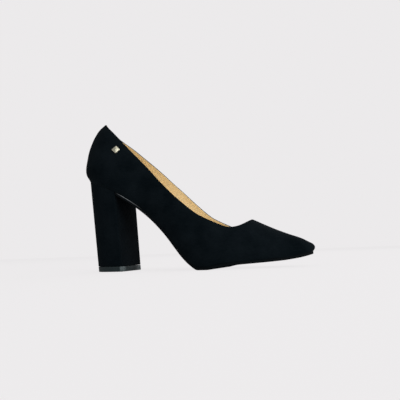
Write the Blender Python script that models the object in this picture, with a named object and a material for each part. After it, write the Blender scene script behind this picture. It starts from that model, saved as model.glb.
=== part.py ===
"""Block heel pump for the right foot, with the toe along +X.

The shoe is an assembly of six pieces, as a maker puts it together: a hollow upper, an insole
inside it, an outsole under the forepart and waist, a covered block heel, its top piece (the wearing
layer on the floor) and a small plain stud on the outer quarter. Lateral, the outer side of the foot,
is -Y. Lengths are metres and +Z is up. The floor is z = 0.

Every curved piece follows one last: a sole line in side view, half widths in plan, and a section that
rises from the sole's edge over the instep. The tables hold shares of the named sizes.
"""
import math

import bmesh
import bpy
import numpy as np

# Sizes of the last
LENGTH = 0.2265
BALL_LATERAL = 0.0395
BALL_MEDIAL = 0.0380
SEAT_RISE = 0.0880
COLLAR_HEIGHT = 0.1503
BACK_LEAN = 0.0200
LEAN_REACH = 0.0750
TOE_SWING = 0.0035
SEAT_ROUND = 0.0300
TOE_ROUND = 0.0110
NOSE = 0.0018
NOSE_REACH = 0.0160
THROAT_AT = 0.1700
THROAT_ROUND = 0.0220
THROAT_POWER = 2.4
SEAT_POWER = 2.2
TOE_POWER = 2.4

# Sizes of the pieces
UPPER_WALL = 0.0018
INSOLE_THICK = 0.0028
OUTSOLE_THICK = 0.0022
TOP_PIECE_THICK = 0.0050
HEEL_BASE_BACK = 0.0115
HEEL_BASE_FRONT = 0.0453
HEEL_BASE_HALF = 0.0225
BREAST_AT = 0.0400
BREAST_CORNER = 0.0012
INSOLE_EASE = 0.0007
STUD_SIDE = 0.0060
STUD_THICK = 0.0020
STUD_RIM = 0.0008
STUD_TABLE = 0.0015
STUD_AT = 0.0401
STUD_DROP = 0.0133
CLEARANCE = 0.0003

# Fineness of the surfaces
UPPER_ROWS = 17
BACK_PITCH = 0.0070
FRONT_PITCH = 0.0050
HEEL_ROWS = 7
SWEEP_STEPS = 160

# Underside of the sole in side view: place and height, shares of LENGTH and SEAT_RISE
SOLE_LINE = {
    "at":   (0.000, 0.060, 0.110, 0.177, 0.240, 0.310, 0.375, 0.415, 0.450, 0.485, 0.520, 0.556,
             0.594, 0.630, 0.665, 0.720, 0.780, 0.850, 0.900, 0.950, 1.000),
    "rise": (1.030, 0.975, 0.925, 0.847, 0.748, 0.615, 0.457, 0.345, 0.234, 0.130, 0.050, 0.000,
             0.000, 0.016, 0.031, 0.044, 0.053, 0.064, 0.075, 0.097, 0.130),
}
# Largest half widths of the last, shares of BALL_LATERAL and BALL_MEDIAL
WIDTHS = {
    "at":      (0.000, 0.130, 0.200, 0.270, 0.350, 0.440, 0.530, 0.600, 0.660, 0.750, 0.840, 0.905,
                0.960, 1.000),
    "lateral": (0.715, 0.735, 0.725, 0.715, 0.735, 0.825, 0.940, 1.000, 0.985, 0.855, 0.665, 0.515,
                0.385, 0.310),
    "medial":  (0.745, 0.760, 0.740, 0.705, 0.705, 0.790, 0.930, 1.000, 0.990, 0.850, 0.660, 0.500,
                0.370, 0.310),
}
# Tuck of the edge under the last (share of the half width), how far up the section it reaches (share
# of the quarter turn), and the section's powers of width and height
SECTION = {
    "at":     (0.000, 0.200, 0.350, 0.480, 0.600, 0.680, 0.750, 0.900, 1.000),
    "tuck":   (0.140, 0.140, 0.200, 0.130, 0.060, 0.050, 0.050, 0.050, 0.050),
    "reach":  (0.170, 0.200, 0.350, 0.300, 0.200, 0.200, 0.200, 0.300, 0.400),
    "width":  (1.000, 0.950, 0.800, 0.700, 0.780, 0.930, 1.000, 0.920, 0.800),
    "height": (1.000, 1.000, 1.000, 1.000, 1.000, 1.040, 1.050, 1.000, 0.950),
}
# Ridge of the last over the floor, share of COLLAR_HEIGHT
RIDGE = {
    "at":     (0.000, 0.060, 0.120, 0.180, 0.240, 0.300, 0.360, 0.420, 0.480, 0.540, 0.600, 0.660,
               0.710, 0.750, 0.800, 0.850, 0.900, 0.950, 0.977, 1.000),
    "height": (1.030, 1.008, 0.974, 0.918, 0.845, 0.771, 0.698, 0.616, 0.523, 0.438, 0.380, 0.341,
               0.318, 0.300, 0.264, 0.229, 0.198, 0.169, 0.147, 0.129),
}
# Collar: share of each half width at which its edge cuts the section, before the throat closes it
COLLAR = {
    "at":      (0.000, 0.084, 0.126, 0.181, 0.216, 0.265, 0.318, 0.371, 0.428, 0.486, 0.542, 0.592,
                0.655, 0.750),
    "lateral": (0.300, 0.420, 0.460, 0.510, 0.548, 0.604, 0.669, 0.733, 0.757, 0.730, 0.700, 0.685,
                0.690, 0.710),
    "medial":  (0.300, 0.545, 0.592, 0.612, 0.620, 0.641, 0.681, 0.728, 0.748, 0.742, 0.732, 0.725,
                0.730, 0.730),
}
# Centre back line: height between seat and collar, and its lean as a share of BACK_LEAN
BACK_LINE = {
    "up":   (0.000, 0.040, 0.110, 0.180, 0.250, 0.380, 0.520, 0.650, 0.790, 0.920, 1.000),
    "lean": (0.215, 0.150, 0.030, 0.000, 0.010, 0.080, 0.165, 0.300, 0.490, 0.750, 1.025),
}
# Swing of the centre line towards the big toe, share of TOE_SWING
SWING = {
    "at":    (0.000, 0.500, 0.660, 0.800, 0.930, 1.000),
    "shift": (0.000, 0.000, 0.140, 0.430, 0.860, 1.000),
}

# The upper's lower edge over the sole's underside, and its ends
EDGE_LIFT = OUTSOLE_THICK + CLEARANCE
EDGE_BACK = BACK_LEAN * BACK_LINE["lean"][0]
EDGE_TOE = LENGTH - NOSE
CORNER_SIGNS = ((-1, -1), (1, -1), (1, 1), (-1, 1))
# Direction in Y and half width at the ball of each side
SIDES = {"lateral": (-1.0, BALL_LATERAL), "medial": (1.0, BALL_MEDIAL)}

SUEDE = {"color": (0.006, 0.008, 0.009), "roughness": 0.95, "metallic": 0.0}
SOLE_RUBBER = {"color": (0.020, 0.021, 0.021), "roughness": 0.55, "metallic": 0.0}
TOP_PIECE_RUBBER = {"color": (0.024, 0.030, 0.031), "roughness": 0.50, "metallic": 0.0}
SOCK_LEATHER = {"color": (0.640, 0.420, 0.180), "roughness": 0.60, "metallic": 0.0}
STUD_METAL = {"color": (0.780, 0.700, 0.520), "roughness": 0.30, "metallic": 1.0}


def smooth(table, column, at):
    """Reads a table's column by smoothly joined cubic pieces.

    Each inner point's slope is that of the parabola through it and its two neighbours, and 0 beside a
    level stretch, which stays level.
    """
    names = list(table)
    x = np.array(table[names[0]])
    y = np.array(table[column])
    step = np.diff(x)
    slope = np.diff(y) / step
    tangent = np.zeros_like(y)
    parabola = (step[1:] * slope[:-1] + step[:-1] * slope[1:]) / (step[1:] + step[:-1])
    tangent[1:-1] = np.where(slope[:-1] * slope[1:] == 0.0, 0.0, parabola)
    tangent[0] = slope[0]
    tangent[-1] = slope[-1]
    at = np.clip(at, x[0], x[-1])
    i = np.clip(np.searchsorted(x, at, side="right") - 1, 0, len(x) - 2)
    t = (at - x[i]) / step[i]
    rise = y[i] + t * t * (3.0 - 2.0 * t) * (y[i + 1] - y[i])
    bend = t * (1.0 - t) * ((1.0 - t) * tangent[i] - t * tangent[i + 1]) * step[i]
    return rise + bend


def round_end(distance, radius, power):
    """Share of the full width at a distance from a rounded end: 0 at the end, 1 past its radius."""
    left = 1.0 - np.clip(distance / radius, 0.0, 1.0)
    return (1.0 - left ** power) ** (1.0 / power)


def sole_height(x, lift):
    """Height over the floor of a surface that lies the given thickness above the sole's underside."""
    probe = LENGTH * 0.001
    height = smooth(SOLE_LINE, "rise", x / LENGTH) * SEAT_RISE
    ahead = smooth(SOLE_LINE, "rise", (x + probe) / LENGTH)
    behind = smooth(SOLE_LINE, "rise", (x - probe) / LENGTH)
    slope = (ahead - behind) * SEAT_RISE / (2.0 * probe)
    return height + lift * np.sqrt(1.0 + slope * slope)


def half_width(x, side):
    """Largest half width of the last at x, closed round at the seat and at the toe."""
    ball = SIDES[side][1]
    seat = round_end(x - EDGE_BACK, SEAT_ROUND, SEAT_POWER)
    toe = round_end(EDGE_TOE - x, TOE_ROUND, TOE_POWER)
    return smooth(WIDTHS, side, x / LENGTH) * ball * seat * toe


def edge_half(x, side):
    """Half width of the last at the sole's edge."""
    return half_width(x, side) * (1.0 - smooth(SECTION, "tuck", x / LENGTH))


def swing(x):
    """Sideways place of the last's centre line."""
    return smooth(SWING, "shift", x / LENGTH) * TOE_SWING


def lean(x, z):
    """Forward shift of a point of the back, from the centre back line, fading along the side."""
    seat = float(sole_height(np.array(EDGE_BACK), EDGE_LIFT))
    fade = np.clip(1.0 - (x - EDGE_BACK) / LEAN_REACH, 0.0, 1.0) ** 2
    up = (z - sole_height(x, EDGE_LIFT)) / (COLLAR_HEIGHT - seat)
    return fade * (smooth(BACK_LINE, "lean", up) - BACK_LINE["lean"][0]) * BACK_LEAN


def section_top(x, side):
    """Quarter-turn angle at which the section at x ends: the collar's edge, or the ridge ahead."""
    throat = round_end(THROAT_AT - x, THROAT_ROUND, THROAT_POWER)
    cut = smooth(COLLAR, side, x / LENGTH) * throat
    return np.arccos(cut ** (1.0 / smooth(SECTION, "width", x / LENGTH)))


def last_points(x, angle, side):
    """Points of the last: stations x and section angles, each an array of the same shape."""
    share = x / LENGTH
    base = sole_height(x, EDGE_LIFT)
    crown = smooth(RIDGE, "height", share) * COLLAR_HEIGHT - base
    up = crown * np.sin(angle) ** smooth(SECTION, "height", share)
    reach = smooth(SECTION, "reach", share) * math.pi / 2.0
    tuck = smooth(SECTION, "tuck", share) * np.clip(1.0 - angle / reach, 0.0, 1.0) ** 2
    across = half_width(x, side) * np.cos(angle) ** smooth(SECTION, "width", share) * (1.0 - tuck)
    nose = np.clip(1.0 - (EDGE_TOE - x) / NOSE_REACH, 0.0, 1.0) ** 2
    push = nose * NOSE * np.sin(math.pi * np.clip(up / crown, 0.0, 1.0))
    z = base + up
    sign = SIDES[side][0]
    return np.stack([x + lean(x, z) + push, swing(x) + sign * across, z], axis=-1)


def stations(start, end, start_round, end_round, start_steps, end_steps, pitch):
    """Places from start to end, close together on the rounded ends and a pitch apart between."""
    first = start + start_round * (1.0 - np.cos(np.linspace(0.0, math.pi / 2.0, start_steps + 1)))
    final = end - end_round * (1.0 - np.cos(np.linspace(math.pi / 2.0, 0.0, end_steps + 1)))
    count = max(1, round((final[0] - first[-1]) / pitch))
    middle = np.linspace(first[-1], final[0], count + 1)[1:-1]
    return np.concatenate([first, middle, final])


def with_flat_spot(x):
    """The same places with the two ends of the sole's flat spot among them."""
    closest = CLEARANCE * 3.0
    ends = [LENGTH * at for at, rise in zip(SOLE_LINE["at"], SOLE_LINE["rise"]) if rise == 0.0]
    apart = np.min(np.abs(x[:, None] - np.array(ends)[None, :]), axis=1)
    return np.sort(np.concatenate([x[apart > closest], ends]))


def surface_grid(x, rows, side):
    """Grid of last points: a column at each station, rows evenly up the whole section.

    Behind the throat the upper rows draw together under the collar's edge, so that the lower ones
    run on into the vamp without a bend.
    """
    sweep = np.linspace(0.0, math.pi / 2.0, SWEEP_STEPS)
    columns = np.repeat(x[:, None], SWEEP_STEPS, axis=1)
    points = last_points(columns, np.tile(sweep, (len(x), 1)), side)
    run = np.linalg.norm(np.diff(points, axis=1), axis=2)
    run = np.concatenate([np.zeros((len(x), 1)), np.cumsum(run, axis=1)], axis=1)
    even = np.linspace(0.0, 1.0, rows)
    angles = []
    for length, top in zip(run, section_top(x, side)):
        reach = np.interp(top, sweep, length) / length[-1]
        power = min(3.0, 0.7 * reach / max(1.0 - reach, 0.001))
        share = even * (1.0 - (1.0 - reach) * even ** power)
        angle = np.interp(share * length[-1], length, sweep)
        angle[-1] = top
        angles.append(angle)
    return last_points(np.repeat(x[:, None], rows, axis=1), np.array(angles), side)


def add_object(name, vertices, faces, finish):
    """Makes one named, smooth-shaded object with its own material."""
    mesh = bpy.data.meshes.new(name)
    mesh.from_pydata([tuple(map(float, v)) for v in vertices], [], faces)
    mesh.validate()
    piece = bpy.data.objects.new(name, mesh)
    bpy.context.scene.collection.objects.link(piece)
    mesh.shade_smooth()
    mesh.set_sharp_from_angle(angle=math.radians(40.0))
    material = bpy.data.materials.new(name)
    material.use_nodes = True
    shader = material.node_tree.nodes["Principled BSDF"]
    shader.inputs["Base Color"].default_value = (*finish["color"], 1.0)
    shader.inputs["Roughness"].default_value = finish["roughness"]
    shader.inputs["Metallic"].default_value = finish["metallic"]
    mesh.materials.append(material)
    return piece


def make_upper():
    """Hollow upper: the last's surface from the sole's edge to the collar, thickened inwards."""
    back = stations(EDGE_BACK, THROAT_AT, SEAT_ROUND, THROAT_ROUND, 8, 5, BACK_PITCH)
    front = stations(THROAT_AT, EDGE_TOE, 0.0, TOE_ROUND, 0, 6, FRONT_PITCH)
    x = np.concatenate([back, front[1:]])
    last = len(x) - 1
    throat = len(back) - 1
    lateral = surface_grid(x, UPPER_ROWS, "lateral")
    medial = surface_grid(x, UPPER_ROWS, "medial")
    vertices = []
    index = {}
    for i in range(len(x)):
        for j in range(UPPER_ROWS):
            index["lateral", i, j] = len(vertices)
            vertices.append(lateral[i, j])
            shared = i in (0, last) or (j == UPPER_ROWS - 1 and i >= throat)
            if not shared:
                vertices.append(medial[i, j])
            index["medial", i, j] = len(vertices) - 1
    faces = []
    for i in range(last):
        for j in range(UPPER_ROWS - 1):
            corners = ((i, j), (i + 1, j), (i + 1, j + 1), (i, j + 1))
            faces.append([index["lateral", a, b] for a, b in corners])
            faces.append([index["medial", a, b] for a, b in reversed(corners)])
    upper = add_object("upper", vertices, faces, SUEDE)
    wall = upper.modifiers.new("wall", "SOLIDIFY")
    wall.thickness = UPPER_WALL
    wall.offset = -1.0
    return upper


def edge_outline(x, inset):
    """Outline of the sole's edge at stations x, drawn in by an inset: lateral and medial x and y."""
    sides = []
    for side, (sign, _) in SIDES.items():
        y = swing(x) + sign * edge_half(x, side)
        sides.append(np.stack([x, y], axis=-1))
    loop = np.concatenate([sides[0], sides[1][::-1]])
    ahead = np.roll(loop, -1, axis=0)
    behind = np.roll(loop, 1, axis=0)
    along = ahead - behind
    along /= np.linalg.norm(along, axis=1)[:, None]
    inward = np.stack([-along[:, 1], along[:, 0]], axis=-1)
    moved = loop + inset * inward
    return moved[:len(x)], moved[len(x):][::-1]


def add_plate(name, lateral, medial, low_lift, high_lift, finish):
    """Closed plate between two lifts over the sole line, straight across from side to side."""
    count = len(lateral)
    vertices = []
    for lift in (low_lift, high_lift):
        for line in (lateral, medial):
            height = sole_height(line[:, 0], lift)
            vertices.extend(np.column_stack([line, height]))
    low_l, low_m, high_l, high_m = (k * count for k in range(4))
    faces = []
    for k in range(count - 1):
        faces.append([low_l + k, low_m + k, low_m + k + 1, low_l + k + 1])
        faces.append([high_l + k, high_l + k + 1, high_m + k + 1, high_m + k])
        faces.append([low_l + k, low_l + k + 1, high_l + k + 1, high_l + k])
        faces.append([low_m + k + 1, low_m + k, high_m + k, high_m + k + 1])
    end = count - 1
    faces.append([low_m, low_l, high_l, high_m])
    faces.append([low_l + end, low_m + end, high_m + end, high_l + end])
    plate = add_object(name, vertices, faces, finish)
    weld(plate)
    return plate


def weld(piece):
    """Merges points that lie on one another, where a round end closes."""
    shape = bmesh.new()
    shape.from_mesh(piece.data)
    bmesh.ops.remove_doubles(shape, verts=shape.verts, dist=0.00001)
    bmesh.ops.dissolve_degenerate(shape, edges=shape.edges, dist=0.000001)
    shape.to_mesh(piece.data)
    shape.free()


def make_insole():
    """Insole: fills the upper's open underside, inside its wall."""
    x = with_flat_spot(stations(EDGE_BACK, EDGE_TOE, SEAT_ROUND, TOE_ROUND, 8, 8, BACK_PITCH))
    inset = UPPER_WALL + INSOLE_EASE
    lateral, medial = edge_outline(x, inset)
    return add_plate("insole", lateral, medial, EDGE_LIFT, EDGE_LIFT + INSOLE_THICK, SOCK_LEATHER)


def make_outsole():
    """Outsole: from the heel's breast to the toe, flush with the upper's edge."""
    start = BREAST_AT + 2.0 * CLEARANCE
    x = with_flat_spot(stations(start, EDGE_TOE, 0.0, TOE_ROUND, 0, 8, FRONT_PITCH))
    lateral, medial = edge_outline(x, 0.0)
    return add_plate("outsole", lateral, medial, 0.0, OUTSOLE_THICK, SOLE_RUBBER)


def heel_lines():
    """The heel's outline on the floor and under the seat: matching points, back to breast."""
    turn = SEAT_ROUND * 0.8
    arc = stations(EDGE_BACK, BREAST_AT, turn, BREAST_CORNER, 9, 4, BACK_PITCH)
    corner = np.clip(1.0 - (BREAST_AT - arc) / BREAST_CORNER, 0.0, 1.0)
    trim = BREAST_CORNER * (1.0 - np.sqrt(1.0 - corner ** 2))
    share = (arc - EDGE_BACK) / (BREAST_AT - EDGE_BACK)
    base_x = HEEL_BASE_BACK + share * (HEEL_BASE_FRONT - HEEL_BASE_BACK)
    seat = round_end(arc - EDGE_BACK, SEAT_ROUND, SEAT_POWER)
    top = {}
    base = {}
    for side, (sign, _) in SIDES.items():
        half = edge_half(arc, side) - trim
        height = sole_height(arc, OUTSOLE_THICK)
        top[side] = np.column_stack([arc, sign * np.maximum(half, 0.0), height])
        flat = HEEL_BASE_HALF * seat - trim
        base[side] = np.column_stack([base_x, sign * np.maximum(flat, 0.0), np.zeros_like(arc)])
    return base, top


def add_heel_layer(name, levels, finish):
    """Closed stack of heel outlines; each level gives the share of the way up for every point."""
    base, top = heel_lines()
    count = len(base["lateral"])
    rows = []
    for level in levels:
        row = {}
        for side in SIDES:
            share = level(top[side][:, 2])[:, None]
            row[side] = base[side] + share * (top[side] - base[side])
        rows.append(np.concatenate([row["lateral"], row["medial"]]))
    vertices = np.concatenate(rows)
    faces = []
    for r in range(len(rows) - 1):
        low = r * 2 * count
        high = low + 2 * count
        for k in range(count - 1):
            faces.append([low + k, low + k + 1, high + k + 1, high + k])
            m = count + k
            faces.append([low + m + 1, low + m, high + m, high + m + 1])
        a = count - 1
        b = 2 * count - 1
        faces.append([low + a, low + b, high + b, high + a])
    up = (len(rows) - 1) * 2 * count
    for k in range(count - 1):
        m = count + k
        faces.append([k, m, m + 1, k + 1])
        faces.append([up + k, up + k + 1, up + m + 1, up + m])
    layer = add_object(name, vertices, faces, finish)
    weld(layer)
    return layer


def make_heel():
    """Covered block, from the top piece up to the seat."""
    floor = TOP_PIECE_THICK + CLEARANCE
    levels = []
    for row in range(HEEL_ROWS + 1):
        part = row / HEEL_ROWS
        levels.append(lambda z, part=part: floor / z + (1.0 - floor / z) * part)
    return add_heel_layer("heel_block", levels, SUEDE)


def make_top_piece():
    """Top piece: the wearing layer under the block, flat on the floor."""
    levels = [lambda z: 0.0 * z, lambda z: TOP_PIECE_THICK / z]
    return add_heel_layer("top_piece", levels, TOP_PIECE_RUBBER)


def collar_drop_point(x, drop, side):
    """Point of the last at station x, the given way down its surface from the collar's edge."""
    column = surface_grid(np.array([x]), SWEEP_STEPS, side)[0][::-1]
    run = np.concatenate([[0.0], np.cumsum(np.linalg.norm(np.diff(column, axis=0), axis=1))])
    return np.array([np.interp(drop, run, column[:, k]) for k in range(3)])


def make_stud():
    """Small plain pyramid stud, flat against the outer quarter, below the collar's edge."""
    half = STUD_SIDE / 2.0
    behind, ahead = (collar_drop_point(STUD_AT + a * half, STUD_DROP, "lateral") for a in (-1, 1))
    above, below = (collar_drop_point(STUD_AT, STUD_DROP + a * half, "lateral") for a in (-1, 1))
    along = ahead - behind
    along /= np.linalg.norm(along)
    out = np.cross(along, above - below)
    out /= np.linalg.norm(out)
    across = np.cross(out, along)
    centre = collar_drop_point(STUD_AT, STUD_DROP, "lateral") + out * CLEARANCE
    rings = ((half, 0.0), (half, STUD_RIM), (STUD_TABLE / 2.0, STUD_THICK))
    vertices = []
    for reach, height in rings:
        for a, b in CORNER_SIGNS:
            vertices.append(centre + out * height + reach * (a * along + b * across))
    faces = [[3, 2, 1, 0], [8, 9, 10, 11]]
    for low in (0, 4):
        for k in range(4):
            n = (k + 1) % 4
            faces.append([low + k, low + n, low + 4 + n, low + 4 + k])
    return add_object("side_stud", vertices, faces, STUD_METAL)


def main():
    for old in list(bpy.data.objects):
        bpy.data.objects.remove(old, do_unlink=True)
    pieces = [make_upper(), make_insole(), make_outsole(), make_heel(), make_top_piece(), make_stud()]
    corners = np.array([v.co for piece in pieces for v in piece.data.vertices])
    middle = (corners.min(axis=0) + corners.max(axis=0)) / 2.0
    for piece in pieces:
        piece.location = (-middle[0], -middle[1], 0.0)


main()
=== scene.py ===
"""Looks of a suede block heel pump, built around the fixed CAD frame.

Every curved piece follows one last, the same solid foot form that the frame's pieces follow. A point of
the last is given by its station, the distance from the heel's back along the shoe, and by an angle that
runs from the sole's edge (0) over the side to the ridge (a quarter turn). Lateral is -Y, metres, +Z up.
"""
from __future__ import annotations

import logging
import math
from dataclasses import dataclass
from enum import Enum

import bmesh
import bpy
import numpy as np
from mathutils import Matrix, Vector


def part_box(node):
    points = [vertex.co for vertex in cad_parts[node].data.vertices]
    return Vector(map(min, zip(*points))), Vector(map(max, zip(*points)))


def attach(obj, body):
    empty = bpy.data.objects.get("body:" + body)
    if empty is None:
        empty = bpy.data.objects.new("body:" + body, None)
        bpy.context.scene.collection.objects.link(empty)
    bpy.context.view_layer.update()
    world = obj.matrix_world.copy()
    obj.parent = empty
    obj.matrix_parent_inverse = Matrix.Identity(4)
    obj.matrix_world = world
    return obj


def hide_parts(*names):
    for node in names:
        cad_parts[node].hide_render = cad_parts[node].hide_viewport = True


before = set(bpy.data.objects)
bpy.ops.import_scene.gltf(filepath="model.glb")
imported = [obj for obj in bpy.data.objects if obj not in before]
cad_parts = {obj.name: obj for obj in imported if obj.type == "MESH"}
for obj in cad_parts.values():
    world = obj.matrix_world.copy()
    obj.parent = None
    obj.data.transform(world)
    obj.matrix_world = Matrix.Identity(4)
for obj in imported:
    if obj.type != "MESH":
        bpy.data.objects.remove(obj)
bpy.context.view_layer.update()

log = logging.getLogger("pump")
QUARTER = math.pi / 2.0
DISH_WIDTH = 0.03


class Side(Enum):
    """The two sides of the shoe, with their direction in Y."""

    LATERAL = -1.0
    MEDIAL = 1.0


# The last


# Underside of the sole at shares of the length: its height as a share of the seat's rise
SOLE_LINE = {
    "at": (0.000, 0.060, 0.110, 0.177, 0.240, 0.310, 0.375, 0.415, 0.450, 0.485, 0.520, 0.556,
           0.594, 0.630, 0.665, 0.720, 0.780, 0.850, 0.900, 0.950, 1.000),
    "rise": (1.030, 0.975, 0.925, 0.847, 0.748, 0.615, 0.457, 0.345, 0.234, 0.130, 0.050, 0.000,
             0.000, 0.016, 0.031, 0.044, 0.053, 0.064, 0.075, 0.097, 0.130),
}
# Largest half width of each side, as a share of the ball's
WIDTHS = {
    "at": (0.000, 0.130, 0.200, 0.270, 0.350, 0.440, 0.530, 0.600, 0.660, 0.750, 0.840, 0.905,
           0.960, 1.000),
    "LATERAL": (0.715, 0.735, 0.725, 0.715, 0.735, 0.825, 0.940, 1.000, 0.985, 0.855, 0.665, 0.515,
                0.385, 0.310),
    "MEDIAL": (0.745, 0.760, 0.740, 0.705, 0.705, 0.790, 0.930, 1.000, 0.990, 0.850, 0.660, 0.500,
               0.370, 0.310),
}
# Section: tuck of its edge, a share of the half width, how far up the tuck reaches, a share of the
# quarter turn, and the powers of width and height
SECTION = {
    "at": (0.000, 0.200, 0.350, 0.480, 0.600, 0.680, 0.750, 0.900, 1.000),
    "tuck": (0.140, 0.140, 0.200, 0.130, 0.060, 0.050, 0.050, 0.050, 0.050),
    "reach": (0.170, 0.200, 0.350, 0.300, 0.200, 0.200, 0.200, 0.300, 0.400),
    "width": (1.000, 0.950, 0.800, 0.700, 0.780, 0.930, 1.000, 0.920, 0.800),
    "height": (1.000, 1.000, 1.000, 1.000, 1.000, 1.040, 1.050, 1.000, 0.950),
}
# Height of the ridge over the floor, as a share of the collar's at the back
RIDGE = {
    "at": (0.000, 0.060, 0.120, 0.180, 0.240, 0.300, 0.360, 0.420, 0.480, 0.540, 0.600, 0.660,
           0.710, 0.750, 0.800, 0.850, 0.900, 0.950, 0.977, 1.000),
    "height": (1.030, 1.008, 0.974, 0.918, 0.845, 0.771, 0.698, 0.616, 0.523, 0.438, 0.380, 0.341,
               0.318, 0.300, 0.264, 0.229, 0.198, 0.169, 0.147, 0.129),
}
# Share of each half width at which the collar cuts the section, before the throat closes it
COLLAR = {
    "at": (0.000, 0.084, 0.126, 0.181, 0.216, 0.265, 0.318, 0.371, 0.428, 0.486, 0.542, 0.592,
           0.655, 0.750),
    "LATERAL": (0.300, 0.420, 0.460, 0.510, 0.548, 0.604, 0.669, 0.733, 0.757, 0.730, 0.700, 0.685,
                0.690, 0.710),
    "MEDIAL": (0.300, 0.545, 0.592, 0.612, 0.620, 0.641, 0.681, 0.728, 0.748, 0.742, 0.732, 0.725,
               0.730, 0.730),
}
# Forward lean of the centre back line on its way up, as a share of the back's lean
BACK_LINE = {
    "up": (0.000, 0.040, 0.110, 0.180, 0.250, 0.380, 0.520, 0.650, 0.790, 0.920, 1.000),
    "lean": (0.215, 0.150, 0.030, 0.000, 0.010, 0.080, 0.165, 0.300, 0.490, 0.750, 1.025),
}
# Sideways shift of the centre line, as a share of the toe's swing
SWING = {
    "at": (0.000, 0.500, 0.660, 0.800, 0.930, 1.000),
    "shift": (0.000, 0.000, 0.140, 0.430, 0.860, 1.000),
}


def smooth(table: dict, column: str, at: np.ndarray) -> np.ndarray:
    """Reads a table's column by smoothly joined cubic pieces.

    Each inner point's slope is that of the parabola through it and its two neighbours, and 0 beside a
    level stretch, which stays level.

    Args:
        table: columns of shares, the first of them the place.
        column: name of the column to read.
        at: places to read it at.

    Returns:
        The column's values at those places.
    """
    x = np.array(next(iter(table.values())))
    y = np.array(table[column])
    step = np.diff(x)
    slope = np.diff(y) / step
    tangent = np.zeros_like(y)
    parabola = (step[1:] * slope[:-1] + step[:-1] * slope[1:]) / (step[1:] + step[:-1])
    tangent[1:-1] = np.where(slope[:-1] * slope[1:] == 0.0, 0.0, parabola)
    tangent[0] = slope[0]
    tangent[-1] = slope[-1]
    at = np.clip(at, x[0], x[-1])
    i = np.clip(np.searchsorted(x, at, side="right") - 1, 0, len(x) - 2)
    t = (at - x[i]) / step[i]
    rise = y[i] + t * t * (3.0 - 2.0 * t) * (y[i + 1] - y[i])
    return rise + t * (1.0 - t) * ((1.0 - t) * tangent[i] - t * tangent[i + 1]) * step[i]


def round_end(distance: np.ndarray, radius: float, power: float) -> np.ndarray:
    """Share of the full width near a rounded end: (1 - (1 - distance/radius)^power)^(1/power)."""
    left = 1.0 - np.clip(distance / radius, 0.0, 1.0)
    return (1.0 - left ** power) ** (1.0 / power)


def unit(vectors: np.ndarray) -> np.ndarray:
    """The vectors at length 1."""
    return vectors / np.maximum(np.linalg.norm(vectors, axis=-1, keepdims=True), 1e-12)


def run_along(line: np.ndarray) -> np.ndarray:
    """Arc length from a line's first point to each of its points."""
    return np.concatenate([[0.0], np.cumsum(np.linalg.norm(np.diff(line, axis=0), axis=1))])


def read_line(at: np.ndarray | float, run: np.ndarray, line: np.ndarray) -> np.ndarray:
    """Points of a line at given arc lengths."""
    return np.stack([np.interp(at, run, line[:, k]) for k in range(3)], axis=-1)


def tangents(loop: np.ndarray) -> np.ndarray:
    """Unit directions along a closed line, each from its point's two neighbours."""
    return unit(np.roll(loop, -1, axis=0) - np.roll(loop, 1, axis=0))


def draw_in(sides: list, inset: float) -> np.ndarray:
    """Closed plan up the first side and back down the second, drawn in along its normal by an inset."""
    loop = np.concatenate([sides[0], sides[1][::-1]])
    along = tangents(loop)
    return loop + inset * np.stack([-along[:, 1], along[:, 0]], axis=-1)


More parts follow.
